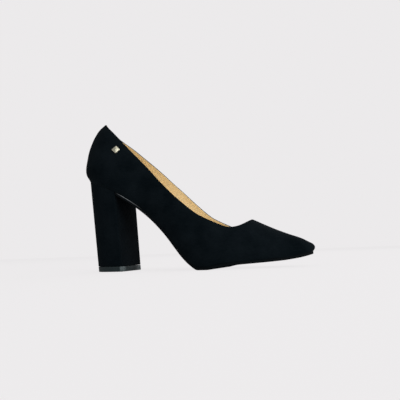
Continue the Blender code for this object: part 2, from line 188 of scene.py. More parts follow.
@dataclass
class Last:
    """The foot form that all curved pieces follow, in the frame's own place.

    Attributes:
        low: lowest corner of the frame's upper.
        high: highest corner of the frame's upper.
    """

    low: Vector
    high: Vector
    seat_rise: float = 0.0880
    collar_height: float = 0.1503
    back_lean: float = 0.0200
    lean_reach: float = 0.0750
    toe_swing: float = 0.0035
    seat_round: float = 0.0300
    toe_round: float = 0.0110
    nose: float = 0.0018
    nose_reach: float = 0.0160
    throat_at: float = 0.1700
    throat_round: float = 0.0220
    throat_power: float = 2.4
    collar_meet: float = 0.0020
    seat_power: float = 2.2
    toe_power: float = 2.4
    breast_at: float = 0.0400
    outsole: float = 0.0022
    gap: float = 0.0003
    overlap: float = 0.0002
    ball: float = 0.0775
    lateral_share: float = 0.5097
    sweep_steps: int = 240
    draw_rate: float = 0.7
    draw_power: float = 3.0

    def __post_init__(self) -> None:
        """Works out the length, the half widths and the place from the frame's upper."""
        self.length = self.high.x - self.low.x
        self.half = {
            Side.LATERAL: self.ball * self.lateral_share,
            Side.MEDIAL: self.ball * (1.0 - self.lateral_share),
        }
        self.edge_lift = self.outsole + self.gap
        self.edge_back = self.back_lean * BACK_LINE["lean"][0]
        self.edge_toe = self.length - self.nose
        self.place = np.array([self.low.x, 0.0, 0.0])
        ball = np.linspace(0.5, 0.7, 101) * self.length
        forepart, angle = np.meshgrid(ball, np.linspace(0.0, QUARTER, 91))
        self.place[1] = self.low.y - np.min(self.points(forepart, angle, Side.LATERAL)[..., 1])

    def sole_height(self, x: np.ndarray, lift: float) -> np.ndarray:
        """Height of a surface that lies a thickness above the sole line: line + lift * sqrt(1 + slope^2)."""
        probe = self.length * 0.001
        places = [(x + step) / self.length for step in (-probe, 0.0, probe)]
        before, here, after = [smooth(SOLE_LINE, "rise", at) * self.seat_rise for at in places]
        slope = (after - before) / (2.0 * probe)
        return here + lift * np.sqrt(1.0 + slope * slope)

    def half_width(self, x: np.ndarray, side: Side) -> np.ndarray:
        """Largest half width at x: table share times the ball's half, closed round at seat and toe."""
        seat = round_end(x - self.edge_back, self.seat_round, self.seat_power)
        toe = round_end(self.edge_toe - x, self.toe_round, self.toe_power)
        return smooth(WIDTHS, side.name, x / self.length) * self.half[side] * seat * toe

    def edge_half(self, x: np.ndarray, side: Side) -> np.ndarray:
        """Half width at the sole's edge: the largest half width less its tuck."""
        return self.half_width(x, side) * (1.0 - smooth(SECTION, "tuck", x / self.length))

    def swing(self, x: np.ndarray) -> np.ndarray:
        """Sideways place of the centre line, a table share of the toe's swing."""
        return smooth(SWING, "shift", x / self.length) * self.toe_swing

    def lean(self, x: np.ndarray, z: np.ndarray) -> np.ndarray:
        """Forward shift from the centre back line, fading with the square of the way along the side."""
        seat = float(self.sole_height(np.array(self.edge_back), self.edge_lift))
        fade = np.clip(1.0 - (x - self.edge_back) / self.lean_reach, 0.0, 1.0) ** 2
        up = (z - self.sole_height(x, self.edge_lift)) / (self.collar_height - seat)
        return fade * (smooth(BACK_LINE, "lean", up) - BACK_LINE["lean"][0]) * self.back_lean

    def collar_angle(self, x: np.ndarray, side: Side, trim: float = 0.0) -> np.ndarray:
        """Angle where the section ends: arc cosine of the cut share of the half width, or the ridge.

        The medial share runs into the lateral one towards the centre back, where the two sides meet.

        Args:
            x: stations.
            side: lateral or medial.
            trim: how far the edge lies back from the collar's own line, down the surface.

        Returns:
            The angle at each station, a quarter turn ahead of the throat.
        """
        throat = round_end(self.throat_at + trim - x, self.throat_round, self.throat_power)
        lateral, own = [smooth(COLLAR, s.name, x / self.length) for s in (Side.LATERAL, side)]
        apart = round_end(x - self.edge_back, self.collar_meet, self.seat_power)
        cut = (lateral + apart * (own - lateral)) * throat
        top = np.arccos(cut ** (1.0 / smooth(SECTION, "width", x / self.length)))
        step = 0.01
        speed = np.linalg.norm(self.points(x, top, side) - self.points(x, top - step, side), axis=-1) / step
        fade = np.sqrt(np.clip((self.throat_at + trim - x) / self.throat_round, 0.0, 1.0))
        return top - trim * fade / np.maximum(speed, trim)

    def points(self, x: np.ndarray, angle: np.ndarray, side: Side) -> np.ndarray:
        """Points of the last's surface, in the frame's place.

        Across is half width * cos(angle)^a * (1 - tuck), up is crown * sin(angle)^b over the sole's edge,
        and the back line's lean and the toe's nose push the point along X.

        Args:
            x: stations.
            angle: section angles, of the same shape.
            side: lateral or medial.

        Returns:
            Array of that shape with a last axis of three coordinates.
        """
        share = x / self.length
        base = self.sole_height(x, self.edge_lift)
        crown = smooth(RIDGE, "height", share) * self.collar_height - base
        up = crown * np.sin(angle) ** smooth(SECTION, "height", share)
        reach = smooth(SECTION, "reach", share) * QUARTER
        tuck = smooth(SECTION, "tuck", share) * np.clip(1.0 - angle / reach, 0.0, 1.0) ** 2
        cosine = np.maximum(np.cos(angle), 0.0)
        across = self.half_width(x, side) * cosine ** smooth(SECTION, "width", share) * (1.0 - tuck)
        nose = np.clip(1.0 - (self.edge_toe - x) / self.nose_reach, 0.0, 1.0) ** 2
        push = nose * self.nose * np.sin(math.pi * np.clip(up / crown, 0.0, 1.0))
        z = base + up
        y = self.swing(x) + side.value * across
        return np.stack([x + self.lean(x, z) + push, y, z], axis=-1) + self.place

    def grid(self, x: np.ndarray, rows: int, side: Side, top: np.ndarray) -> np.ndarray:
        """Grid of last points: a column at each station, rows by arc length up the whole section.

        Behind the throat the upper rows draw together under the section's top, so that the lower ones
        run on into the vamp without a bend: share * (1 - (1 - reach) * share^power).

        Args:
            x: stations.
            rows: points up each section.
            side: lateral or medial.
            top: section angle where each column ends.

        Returns:
            Array of stations by rows by three coordinates.
        """
        sweep = np.linspace(0.0, QUARTER, self.sweep_steps)
        columns = np.repeat(x[:, None], self.sweep_steps, axis=1)
        points = self.points(columns, np.tile(sweep, (len(x), 1)), side)
        run = np.cumsum(np.linalg.norm(np.diff(points, axis=1), axis=2), axis=1)
        run = np.concatenate([np.zeros((len(x), 1)), run], axis=1)
        even = np.linspace(0.0, 1.0, rows)
        angles = np.empty((len(x), rows))
        for i, (length, end) in enumerate(zip(run, top)):
            reach = np.interp(end, sweep, length) / length[-1]
            power = min(self.draw_power, self.draw_rate * reach / max(1.0 - reach, 0.001))
            share = even * (1.0 - (1.0 - reach) * even ** power)
            angles[i] = np.interp(share * length[-1], length, sweep)
            angles[i, -1] = end
        return self.points(np.repeat(x[:, None], rows, axis=1), angles, side)

    def stations(self, start: float, end: float, rounds: tuple, steps: tuple, pitch: float) -> np.ndarray:
        """Stations from start to end, cosine spaced on the rounded ends and a pitch apart between."""
        first = start + rounds[0] * (1.0 - np.cos(np.linspace(0.0, QUARTER, steps[0] + 1)))
        final = end - rounds[1] * (1.0 - np.cos(np.linspace(QUARTER, 0.0, steps[1] + 1)))
        count = max(1, round((final[0] - first[-1]) / pitch))
        middle = np.linspace(first[-1], final[0], count + 1)[1:-1]
        return np.concatenate([first, middle, final])


# Mesh helpers


def surface_normals(grid: np.ndarray, outward: float) -> np.ndarray:
    """Unit normals of a grid of points: cross product of the two differences, turned outward."""
    along = np.gradient(grid, axis=0)
    across = np.gradient(grid, axis=1)
    return unit(np.cross(along, across)) * outward


def quads(
    columns: int, rows: int, closed: bool = False, ring: bool = False, offset: int = 0
) -> np.ndarray:
    """Corner numbers of the quads of a grid stored column by column.

    Args:
        columns: points along.
        rows: points across.
        closed: whether the last column joins the first.
        ring: whether the last row joins the first, as in a tube.
        offset: number of the grid's first point.

    Returns:
        Array of quads by four corners.
    """
    i = np.arange(columns if closed else columns - 1)[:, None]
    j = np.arange(rows if ring else rows - 1)[None, :]
    n = (i + 1) % columns
    m = (j + 1) % rows
    corners = [i * rows + j, n * rows + j, n * rows + m, i * rows + m]
    return np.stack([c + np.zeros_like(i + j) for c in corners], axis=-1).reshape(-1, 4) + offset


def put_in_scene(name: str, data: bpy.types.ID) -> bpy.types.Object:
    """A new object with the data, linked to the scene."""
    thing = bpy.data.objects.new(name, data)
    bpy.context.scene.collection.objects.link(thing)
    return thing


def clean(mesh: bpy.types.Mesh) -> None:
    """Merges doubled points at seams and poles, and drops faces without area."""
    shape = bmesh.new()
    shape.from_mesh(mesh)
    bmesh.ops.remove_doubles(shape, verts=shape.verts, dist=2e-6)
    bmesh.ops.dissolve_degenerate(shape, edges=shape.edges, dist=1e-7)
    bmesh.ops.recalc_face_normals(shape, faces=shape.faces)
    shape.to_mesh(mesh)
    shape.free()


@dataclass(frozen=True)
class Dress:
    """What a piece wears: its finish and the frame nodes it replaces; it also holds the name of the record's
    material slot.
    """

    slot: str
    finish: bpy.types.Material
    nodes: tuple = ()


def add_piece(
    name: str,
    points: np.ndarray,
    faces: np.ndarray,
    dress: Dress,
    along: np.ndarray | None = None,
    angle: float = 40.0,
) -> bpy.types.Object:
    """Puts arrays of points and quads into a named mesh piece that rides on the frame, and logs it.

    Args:
        name: the piece's name.
        points: array of points by three coordinates.
        faces: array of quads.
        dress: the finish it wears and the frame nodes it hides.
        along: two numbers a point, kept as the attribute "along".
        angle: sharpest smooth-shaded edge, in degrees.

    Returns:
        The new object.
    """
    mesh = bpy.data.meshes.new(name)
    mesh.from_pydata(points.reshape(-1, 3).tolist(), [], faces.tolist())
    if along is not None:
        layer = mesh.attributes.new("along", "FLOAT2", "POINT")
        layer.data.foreach_set("vector", np.ascontiguousarray(along, dtype=np.float32).ravel())
    clean(mesh)
    piece = put_in_scene(name, mesh)
    mesh.shade_smooth()
    mesh.set_sharp_from_angle(angle=math.radians(angle))
    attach(piece, "root")
    if dress.nodes:
        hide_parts(*dress.nodes)
    mesh.materials.append(dress.finish)
    log.info("%s: %d faces", name, len(mesh.polygons))
    return piece


# Shader node groups


def group(name: str, inputs: dict, outputs: dict) -> tuple:
    """Starts a shader node group.

    Args:
        name: the group's name.
        inputs: socket names with their defaults (numbers, or four numbers for a colour).
        outputs: socket names with their kind, "Float" or "Color".

    Returns:
        A helper for its nodes, the outputs of its input node, and its output node.
    """
    tree = bpy.data.node_groups.new(name, "ShaderNodeTree")
    for label, default in inputs.items():
        kind = "NodeSocketColor" if isinstance(default, tuple) else "NodeSocketFloat"
        socket = tree.interface.new_socket(name=label, in_out="INPUT", socket_type=kind)
        socket.default_value = default
    for label, kind in outputs.items():
        tree.interface.new_socket(name=label, in_out="OUTPUT", socket_type="NodeSocket" + kind)
    given = tree.nodes.new("NodeGroupInput").outputs
    return Nodes(tree), given, tree.nodes.new("NodeGroupOutput")


class Nodes:
    """Short ways to add and join nodes in one node tree."""

    def __init__(self, tree: bpy.types.NodeTree) -> None:
        """Keeps the tree."""
        self.tree = tree

    def set(self, node: bpy.types.Node, inputs: dict) -> None:
        """Sets a node's inputs, given by name or number, to values, or links them to output sockets."""
        for key, value in inputs.items():
            if isinstance(value, bpy.types.NodeSocket):
                self.tree.links.new(value, node.inputs[key])
            else:
                node.inputs[key].default_value = value

    def add(self, kind: str, inputs: dict | None = None, **settings: object) -> bpy.types.Node:
        """Adds a node.

        Args:
            kind: node type without its "ShaderNode" prefix.
            inputs: input name or number with a value, a colour or an output socket.
            settings: properties of the node, set before its inputs.

        Returns:
            The node.
        """
        node = self.tree.nodes.new("ShaderNode" + kind)
        for key, value in settings.items():
            setattr(node, key, value)
        self.set(node, inputs or {})
        return node

    def place(self) -> bpy.types.NodeSocket:
        """Object coordinates."""
        return self.add("TexCoord").outputs["Object"]

    def math(self, operation: str, first: object, second: object = 0.0) -> bpy.types.NodeSocket:
        """A Math node's result."""
        return self.add("Math", {0: first, 1: second}, operation=operation).outputs[0]

    def remap(
        self, value: object, low: float, high: float, new_low: float = 0.0, new_high: float = 1.0
    ) -> bpy.types.NodeSocket:
        """A value remapped from one range to another and held inside it."""
        inputs = {"Value": value, "From Min": low, "From Max": high, "To Min": new_low, "To Max": new_high}
        return self.add("MapRange", inputs).outputs[0]

    def blend(self, share: object, first: object, second: object) -> bpy.types.NodeSocket:
        """Two colours mixed by a share."""
        return self.add("Mix", {"Factor": share, 6: first, 7: second}, data_type="RGBA").outputs[2]

    def noise(
        self, where: object, scale: object, detail: float = 3.0, rough: float = 0.5
    ) -> bpy.types.NodeSocket:
        """A noise texture's value between about 0 and 1."""
        inputs = {"Vector": where, "Scale": scale, "Detail": detail, "Roughness": rough}
        return self.add("TexNoise", inputs).outputs[0]

    def bump(self, height: object, distance: float, strength: float) -> bpy.types.NodeSocket:
        """Normals tilted by a height."""
        inputs = {"Height": height, "Distance": distance, "Strength": strength}
        return self.add("Bump", inputs).outputs[0]

    def total(self, parts: tuple) -> bpy.types.NodeSocket:
        """Sum of values, each given with its weight."""
        weighed = [self.math("MULTIPLY", value, weight) for value, weight in parts]
        result = weighed[0]
        for value in weighed[1:]:
            result = self.math("ADD", result, value)
        return result


def nap_group() -> bpy.types.NodeTree:
    """Suede nap: short fibres lying in patches.

    Fine noise gives the fibres, a stretched noise their lie, and a broad one the patches where the nap
    was brushed the other way. Colour is the dark tone lifted to the light one by patch and fibre.

    Returns:
        The node group, with Colour, Rough and Height.
    """
    tones = {"Dark": (0.0, 0.0, 0.0, 1.0), "Light": (0.02, 0.02, 0.02, 1.0)}
    scales = {"Patch scale": 60.0, "Fibre scale": 2600.0}
    outputs = {"Colour": "Color", "Rough": "Float", "Height": "Float"}
    n, given, out = group("suede nap", tones | scales, outputs)
    where = n.place()
    stretch = {"Vector": where, "Scale": (0.35, 1.0, 1.0), "Rotation": (0.0, 0.5, 0.0)}
    lie = n.add("Mapping", stretch).outputs[0]
    patch = n.noise(where, given["Patch scale"], 4.0)
    fibre = n.noise(lie, given["Fibre scale"], 4.0)
    tuft = n.noise(lie, 620.0, 3.0, 0.6)
    spread = n.remap(fibre, 0.3, 0.7)
    mix = n.total(((n.remap(patch, 0.32, 0.68), 0.55), (n.remap(tuft, 0.3, 0.7), 0.25), (spread, 0.20)))
    n.set(out, {
        "Colour": n.blend(mix, given["Dark"], given["Light"]),
        "Rough": n.remap(fibre, 0.3, 0.7, 0.86, 1.0),
        "Height": n.total(((fibre, 0.5), (tuft, 0.5))),
    })
    return n.tree


def grain_group() -> bpy.types.NodeTree:
    """Leather or rubber grain: small cells with soft valleys, over a broad mottle.

    Returns:
        The node group, with Colour, Mottle and Height.
    """
    tones = {"Base": (0.5, 0.4, 0.3, 1.0), "Deep": (0.3, 0.2, 0.1, 1.0)}
    scales = {"Cell scale": 900.0, "Mottle scale": 45.0}
    outputs = {"Colour": "Color", "Mottle": "Float", "Height": "Float"}
    n, given, out = group("hide grain", tones | scales, outputs)
    where = n.place()
    warp = n.add("TexNoise", {"Vector": where, "Scale": 300.0}).outputs["Color"]
    moved = n.add("VectorMath", {0: warp, 1: (0.0012, 0.0012, 0.0012)}, operation="MULTIPLY").outputs[0]
    moved = n.add("VectorMath", {0: where, 1: moved}, operation="ADD").outputs[0]
    cell = n.add("TexVoronoi", {"Vector": moved, "Scale": given["Cell scale"]}).outputs["Distance"]
    mottle = n.remap(n.noise(where, given["Mottle scale"], 5.0), 0.3, 0.7)
    share = n.total(((mottle, 0.6), (n.remap(cell, 0.2, 0.8), 0.4)))
    n.set(out, {
        "Colour": n.blend(share, given["Base"], given["Deep"]),
        "Mottle": mottle,
        "Height": n.remap(cell, 0.1, 0.9, 1.0, 0.0),
    })
    return n.tree


# Finishes


def start_material(name: str) -> tuple:
    """A new material with its node helper and its Principled shader."""
    material = bpy.data.materials.new(name)
    material.use_nodes = True
    return material, Nodes(material.node_tree), material.node_tree.nodes["Principled BSDF"]


@dataclass(frozen=True)
class Suede:
    """Black suede with a faintly cool cast and a short nap."""

    name: str
    dark: tuple = (0.0009, 0.0020, 0.0028, 1.0)
    light: tuple = (0.0040, 0.0062, 0.0078, 1.0)
    patch_scale: float = 55.0
    bump: float = 0.25
    sheen: float = 0.004
    specular: float = 0.01

    def make(self, nap: bpy.types.NodeTree) -> bpy.types.Material:
        """Builds the material from the nap group."""
        material, n, shader = start_material(self.name)
        inputs = {"Dark": self.dark, "Light": self.light, "Patch scale": self.patch_scale}
        fibres = n.add("Group", inputs, node_tree=nap).outputs
        n.set(shader, {
            "Base Color": fibres["Colour"],
            "Roughness": fibres["Rough"],
            "Normal": n.bump(fibres["Height"], 0.0002, self.bump),
            "Specular IOR Level": self.specular,
            "Sheen Weight": self.sheen,
            "Sheen Roughness": 0.4,
        })
        return material


@dataclass(frozen=True)
class Hide:
    """Smooth leather, rubber or coated board with a fine grain."""

    name: str
    base: tuple
    deep: tuple
    cell_scale: float = 900.0
    mottle_scale: float = 45.0
    roughness: tuple = (0.45, 0.60)
    bump: float = 0.2
    specular: float = 0.4

    def make(self, grain: bpy.types.NodeTree) -> bpy.types.Material:
        """Builds the material from the grain group."""
        material, n, shader = start_material(self.name)
        inputs = {
            "Base": self.base,
            "Deep": self.deep,
            "Cell scale": self.cell_scale,
            "Mottle scale": self.mottle_scale,
        }
        hide = n.add("Group", inputs, node_tree=grain).outputs
        n.set(shader, {
            "Base Color": self.tone(n, hide["Colour"]),
            "Roughness": n.remap(hide["Mottle"], 0.0, 1.0, *self.roughness),
            "Normal": n.bump(hide["Height"], 0.0001, self.bump),
            "Specular IOR Level": self.specular,
        })
        return material

    def tone(self, n: Nodes, plain: bpy.types.NodeSocket) -> bpy.types.NodeSocket:
        """The surface's colour, which is the plain grain's here."""
        return plain


@dataclass(frozen=True)
class SoleEdge(Hide):
    """Black sole rubber with a painted highlight on its edge along the waist, just under the upper: a grey
    tone that stands in for light caught there from below.

    The attribute "along" holds the share of the length and the share of the way up the edge.
    """

    # Painted highlight: grey that stands in for light caught by the sole's edge along the waist.
    waist_highlight: tuple = (0.135, 0.147, 0.153, 1.0)
    start: tuple = (0.183, 0.212)
    fade: tuple = (0.240, 0.300)
    height: tuple = (0.66, 0.84)

    def tone(self, n: Nodes, plain: bpy.types.NodeSocket) -> bpy.types.NodeSocket:
        """Mixes the painted highlight in where the waist's and the edge's shares meet."""
        along = n.add("Attribute", attribute_name="along").outputs["Vector"]
        parts = n.add("SeparateXYZ", {0: along}).outputs
        rise = n.remap(parts["X"], *self.start)
        fall = n.remap(parts["X"], *self.fade, 1.0, 0.0)
        share = n.math("MULTIPLY", n.math("MULTIPLY", rise, fall), n.remap(parts["Y"], *self.height))
        # Painted highlight mixed over the black rubber along the waist's edge.
        return n.blend(share, plain, self.waist_highlight)


@dataclass(frozen=True)
class CornerSheenRubber(Hide):
    """Heel rubber with a painted pale sheen round the breast's two corners, standing in for light reflected
    off their rounds.

    A corner's share falls from 1 to 0 over the outer part of a reach along X and another along Y, and
    a noise roughens its border.
    """

    # Painted sheen: pale tone standing in for light reflected off the breast's rounded corners.
    corner_sheen: tuple = (0.078, 0.098, 0.100, 1.0)
    corner: tuple = (0.0, 0.0)
    reach: tuple = (0.0028, 0.0110)
    full: tuple = (0.7, 0.6)
    sheen_breakup: tuple = (0.38, 0.60, 0.45, 1.0)

    def tone(self, n: Nodes, plain: bpy.types.NodeSocket) -> bpy.types.NodeSocket:
        """Mixes the painted sheen in round the corners."""
        where = n.place()
        parts = n.add("SeparateXYZ", {0: where}).outputs
        near = []
        for k, value in enumerate((parts["X"], n.math("ABSOLUTE", parts["Y"]))):
            apart = n.math("ABSOLUTE", n.math("SUBTRACT", value, self.corner[k]))
            near.append(n.remap(apart, self.reach[k] * self.full[k], self.reach[k], 1.0, 0.0))
        # Noise that breaks up the painted sheen's border.
        sheen_breakup = n.remap(n.noise(where, 420.0, 4.0, 0.6), *self.sheen_breakup)
        share = n.math("MULTIPLY", n.math("MULTIPLY", *near), sheen_breakup)
        # Painted sheen mixed over the rubber round the corners.
        return n.blend(share, plain, self.corner_sheen)


@dataclass(frozen=True)
class Plating:
    """Pale gold plating, brushed very finely."""

    name: str
    colour: tuple = (0.385, 0.375, 0.290, 1.0)
    shade: float = 0.86
    rough: tuple = (0.24, 0.38)

    def make(self) -> bpy.types.Material:
        """Builds the material: noise stretched along one way gives the brushing."""
        material, n, shader = start_material(self.name)
        brushed = n.add("Mapping", {"Vector": n.place(), "Scale": (1.0, 1.0, 12.0)}).outputs[0]
        lines = n.noise(brushed, 900.0, 2.0)
        shaded = tuple(c * self.shade for c in self.colour[:3]) + (1.0,)
        n.set(shader, {
            "Base Color": n.blend(n.remap(lines, 0.35, 0.65), self.colour, shaded),
            "Roughness": n.remap(lines, 0.3, 0.7, *self.rough),
            "Normal": n.bump(lines, 0.00002, 0.3),
            "Metallic": 1.0,
        })
        return material


# The pieces


def edge_outline(last: Last, x: np.ndarray, inset: float) -> np.ndarray:
    """Closed outline of the sole's edge in plan, drawn in along its own normal by an inset.

    Args:
        last: the last.
        x: stations from the back to the front.
        inset: distance inwards.

    Returns:
        Points by x and y: lateral from back to front, then medial from front to back.
    """
    sides = [np.stack([x, last.swing(x) + s.value * last.edge_half(x, s)], axis=-1) for s in Side]
    return draw_in(sides, inset)


def loft(loops: np.ndarray, across: int, dish: float = 0.0) -> tuple:
    """Closed body through a stack of loops, with its two ends covered by strips from side to side.

    A loop runs up one side and back down the other, so point i faces point n - 1 - i. A strip's middle
    sinks by dish * (1 - s^2), with s the share of the half width, and by less where the strip is
    narrower than DISH_WIDTH.

    Args:
        loops: levels by points by three coordinates, lowest first.
        across: quads from side to side in each end.
        dish: how far the top's middle sinks.

    Returns:
        Points and quads.
    """
    levels, count = loops.shape[:2]
    half = count // 2
    points = [loops.transpose(1, 0, 2).reshape(-1, 3)]
    faces = [quads(count, levels, closed=True)]
    offset = len(points[0])
    share = np.linspace(0.0, 1.0, across + 1)[None, :, None]
    for level, sink in ((0, 0.0), (levels - 1, dish)):
        near = loops[level, :half][:, None, :]
        far = loops[level, half:][::-1][:, None, :]
        strip = near + share * (far - near)
        width = np.linalg.norm(far - near, axis=-1, keepdims=True)
        flat = np.clip(width / DISH_WIDTH, 0.0, 1.0)
        strip[..., 2:] -= sink * flat * (1.0 - (2.0 * share - 1.0) ** 2)
        points.append(strip.reshape(-1, 3))
        faces.append(quads(half, across + 1, offset=offset))
        offset += half * (across + 1)
    return np.concatenate(points), np.concatenate(faces)


def quarter_round(radius: float, steps: int = 4) -> list:
    """Inset and rise pairs up a quarter round at the foot of a wall."""
    turn = np.linspace(0.0, QUARTER, steps + 1)
    return [(radius * (1.0 - math.sin(t)), radius * (1.0 - math.cos(t))) for t in turn]


def rounded_levels(high: float, radius: float) -> list:
    """Inset and height pairs up a wall from 0, whose lower and upper edges are quarter rounds."""
    pairs = quarter_round(radius)
    return pairs + [(rise, high - inset) for inset, rise in pairs]


def turn_outward(mesh: bpy.types.Mesh, centre: np.ndarray) -> None:
    """Flips an open shell whose faces look towards its centre."""
    count = len(mesh.polygons)
    normal = np.empty(count * 3)
    middle = np.empty(count * 3)
    area = np.empty(count)
    mesh.polygons.foreach_get("normal", normal)
    mesh.polygons.foreach_get("center", middle)
    mesh.polygons.foreach_get("area", area)
    away = middle.reshape(-1, 3) - centre
    if np.sum(area * np.sum(normal.reshape(-1, 3) * away, axis=1)) < 0.0:
        mesh.flip_normals()


def even_loop(points: np.ndarray, normals: np.ndarray, count: int) -> tuple:
    """A closed line and its normals read again at even steps of arc length."""
    closed = np.concatenate([points, points[:1]])
    turned = np.concatenate([normals, normals[:1]])
    run = run_along(closed)
    at = np.linspace(0.0, run[-1], count + 1)[:-1]
    return read_line(at, run, closed), unit(read_line(at, run, turned))


# Foot of the fold's inner leg, point by point: how far out from its end and up from its depth
FOLD_FOOT = {
    "out": (0.0, 0.00004, 0.0002, 0.0004),
    "up": (0.0001, 0.00003, 0.0, 0.0),
}


@dataclass
class Upper:
    """Suede upper with its turned collar edge and its leather lining."""

    last: Last
    wall: float = 0.0012
    suede: float = 0.0007
    layer_gap: float = 0.00002
    trim: float = 0.0007
    lining_trim: float = 0.0003
    rows: int = 48
    pitch: float = 0.0022
    fold_proud: float = 0.00005
    fold_in: float = 0.0009
    fold_out: float = 0.0019
    fold_sink: float = 0.00022
    fold_hidden: float = 0.00008
    fold_steps: int = 300
    fold_even: int = 3
    probe: float = 0.0003
    probe_turn: float = 0.02
    inwards: float = 0.02

    def build(self, suede: bpy.types.Material, lining: bpy.types.Material) -> None:
        """Builds the skin, the lining and the turned edge."""
        depth = self.suede + self.layer_gap
        inner = self.wall - self.suede
        skin = Dress("upper_suede", suede, ("upper",))
        self.build_layer("suede_skin", 0.0, self.suede, self.trim, skin)
        self.build_layer("lining", depth, inner, self.lining_trim, Dress("sock_leather", lining))
        self.build_fold(suede)

    def stations(self, trim: float) -> np.ndarray:
        """Stations of a layer whose edge is trimmed: close together at the seat, the throat and the toe."""
        last = self.last
        throat = last.throat_at + trim
        rounds = (last.seat_round, last.throat_round)
        back = last.stations(last.edge_back, throat, rounds, (34, 26), self.pitch)
        front = last.stations(throat, last.edge_toe, (0.0, last.toe_round), (0, 26), self.pitch)
        return np.concatenate([back, front[1:]])

    def build_layer(self, name: str, depth: float, thickness: float, trim: float, dress: Dress) -> None:
        """One layer of the wall, given its thickness by a Solidify modifier.

        Args:
            name: the layer's name.
            depth: how far inside the last's surface it starts.
            thickness: its own thickness, inwards.
            trim: how far below the collar's line it ends.
            dress: the finish it wears and the frame nodes it hides.
        """
        x = self.stations(trim)
        last = self.last
        grids = [last.grid(x, self.rows, s, last.collar_angle(x, s, trim)) for s in Side]
        grids[1][0] = grids[0][0]
        normals = [surface_normals(g, -s.value) for g, s in zip(grids, Side)]
        shared = np.zeros(normals[0].shape[:2], dtype=bool)
        shared[0] = True
        shared[-1] = True
        shared[x >= last.throat_at + trim - 1e-9, -1] = True
        mean = unit(normals[0] + normals[1])
        points = []
        for grid, normal in zip(grids, normals):
            normal[shared] = mean[shared]
            points.append((grid - normal * depth).reshape(-1, 3))
        faces = np.concatenate([quads(len(x), self.rows, offset=k * len(points[0])) for k in (0, 1)])
        piece = add_piece(name, np.concatenate(points), faces, dress)
        turn_outward(piece.data, self.centre())
        wall = piece.modifiers.new("wall", "SOLIDIFY")
        wall.thickness = thickness
        wall.offset = -1.0

    def centre(self) -> np.ndarray:
        """A point inside the forepart, to tell outward from inward."""
        x = np.array(0.75 * self.last.length)
        low = self.last.points(x, np.array(0.0), Side.LATERAL)
        top = self.last.points(x, np.array(QUARTER), Side.LATERAL)
        return np.array([low[0], self.last.place[1], (low[2] + top[2]) / 2.0])

    def collar(self) -> tuple:
        """The collar's edge as one closed line with the surface's outward normals.

        The normal is the cross product of differences along and around the last, turned away from a
        point inside it.
        """
        last = self.last
        span = last.throat_at - last.edge_back
        x = last.edge_back + span * (1.0 - np.cos(np.linspace(0.0, math.pi, self.fold_steps))) / 2.0
        lines = []
        for side in Side:
            top = last.collar_angle(x, side)
            here = last.points(x, top, side)
            around = here - last.points(x, top - self.probe_turn, side)
            ahead = last.points(x + self.probe, top, side)
            behind = last.points(np.maximum(x - self.probe, last.edge_back), top, side)
            forward = here[:, 0] + self.inwards * (1.0 - x / last.throat_at)
            middle = np.full_like(x, last.place[1])
            inside = np.stack([forward, middle, here[:, 2] - self.inwards], axis=-1)
            normal = unit(np.cross(ahead - behind, around))
            normal *= np.sign(np.sum(normal * (here - inside), axis=1, keepdims=True))
            lines.append((here, normal))
        for end in (0, -1):
            lines[0][1][end] = unit(lines[0][1][end] + lines[1][1][end])
        here = np.concatenate([lines[0][0], lines[1][0][::-1][1:-1]])
        normal = np.concatenate([lines[0][1], lines[1][1][::-1][1:-1]])
        return here, normal

    def build_fold(self, suede: bpy.types.Material) -> None:
        """The collar's turned edge: a U carried round the opening over the wall's edge.

        Its outer leg sinks slowly into the skin, so that no step shows, and its inner leg runs down inside
        the lining, which covers it almost to the edge.
        """
        here, normal = even_loop(*self.collar(), 2 * self.fold_steps)
        normal = sum(np.roll(normal, step, axis=0) for step in range(-self.fold_even, self.fold_even + 1))
        tangent = tangents(here)
        normal = unit(normal - tangent * np.sum(normal * tangent, axis=1, keepdims=True))
        down = unit(np.cross(tangent, normal))
        down *= -np.sign(down[:, 2:])
        end = -self.wall + self.fold_hidden
        middle = (self.fold_proud + end) / 2.0
        radius = (self.fold_proud - end) / 2.0
        turn = np.linspace(0.0, math.pi, 13)
        way = np.linspace(1.0, 0.0, 9)[:-1]
        sink = self.fold_proud - self.fold_sink * way ** 2
        outer = np.stack([sink, radius + way * (self.fold_out - radius)], axis=-1)
        over = np.stack([middle + radius * np.cos(turn), radius * (1.0 - np.sin(turn))], axis=-1)
        foot = {way: np.array(offsets) for way, offsets in FOLD_FOOT.items()}
        inner = np.stack([end + foot["out"], self.fold_in - foot["up"]], axis=-1)
        profile = np.concatenate([outer, over, inner])
        out_by, down_by = profile[None, :, :1], profile[None, :, 1:]
        points = here[:, None] + out_by * normal[:, None] + down_by * down[:, None]
        faces = quads(*points.shape[:2], closed=True, ring=True)
        add_piece("collar_fold", points, faces, Dress("upper_suede", suede), angle=60.0)


@dataclass
class Sock:
    """Insole board with its soft leather sock, filling the upper's underside."""

    last: Last
    thick: float = 0.0028
    inset: float = 0.0013
    edge: float = 0.0012
    dish: float = 0.0008

    def build(self, leather: bpy.types.Material) -> None:
        """Builds the sock as a plate with rounded edges and a shallow foot bed."""
        last = self.last
        x = last.stations(last.edge_back, last.edge_toe, (last.seat_round, last.toe_round), (30, 30), 0.0022)
        loops = []
        for inset, lift in rounded_levels(self.thick, self.edge):
            plan = edge_outline(last, x, self.inset + inset)
            height = last.sole_height(plan[:, 0], last.edge_lift + lift)
            loops.append(np.column_stack([plan, height]) + last.place)
        points, faces = loft(np.array(loops), 24, self.dish)
        add_piece("sock", points, faces, Dress("sock_leather", leather, ("insole",)))


